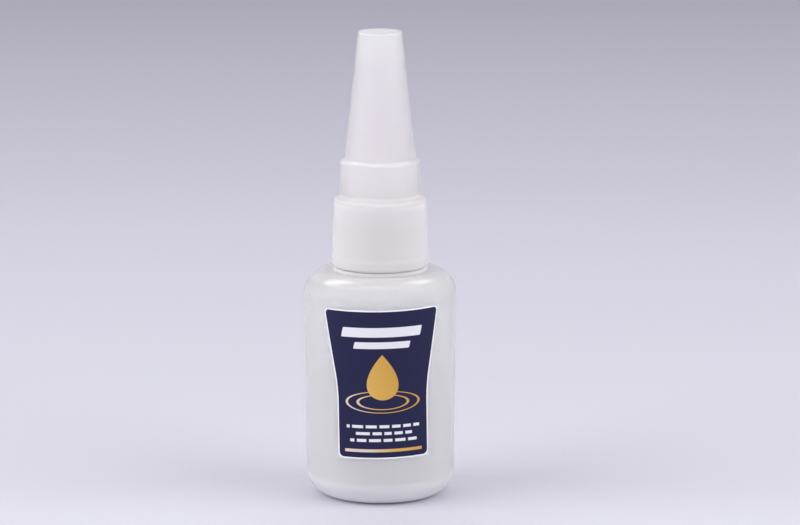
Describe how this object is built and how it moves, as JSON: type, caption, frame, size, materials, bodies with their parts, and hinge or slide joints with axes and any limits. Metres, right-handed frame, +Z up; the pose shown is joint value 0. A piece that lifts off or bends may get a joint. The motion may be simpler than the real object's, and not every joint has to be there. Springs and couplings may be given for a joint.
{
  "type": "instant glue squeeze bottle",
  "caption": "Upright round squeeze bottle of instant glue with a dark front label, a dropper nozzle plugged into its neck and a tall stepped screw cap that turns and lifts off.",
  "frame": {"origin": "centre of the base, on the surface that the bottle stands on", "axes": "+Z up along the bottle's axis, towards the cap; the label faces -Y"},
  "size_m": [0.0316, 0.0318, 0.097],
  "materials": {
    "bottle_plastic": "milky see-through polyethylene, satin",
    "nozzle_plastic": "natural soft polyethylene, satin",
    "cap_plastic": "milky see-through moulded plastic, satin",
    "pin_steel": "drawn wire",
    "label_film": "printed film, dark blue with a thin white border",
    "glue_liquid": "clear thin liquid"
  },
  "bodies": {
    "bottle": {"bottle": "bottle_plastic", "nozzle": "nozzle_plastic", "label": "label_film", "glue": "glue_liquid"},
    "pin": {"sealing_pin": "pin_steel"},
    "cap": {"cap": "cap_plastic"}
  },
  "joints": [
    {"name": "cap_rise", "type": "slide", "parent": "bottle", "child": "pin", "axis": [0, 0, 1], "range_m": [0, 0.048]},
    {"name": "cap_turn", "type": "hinge", "parent": "pin", "child": "cap", "pos_m": [0, 0, 0.0614], "axis": [0, 0, 1], "range_deg": [0, 5760]}
  ],
  "couplings": [
    {"joint": "cap_rise", "follows": "cap_turn", "m_per_rad": 0.00047746}
  ]
}
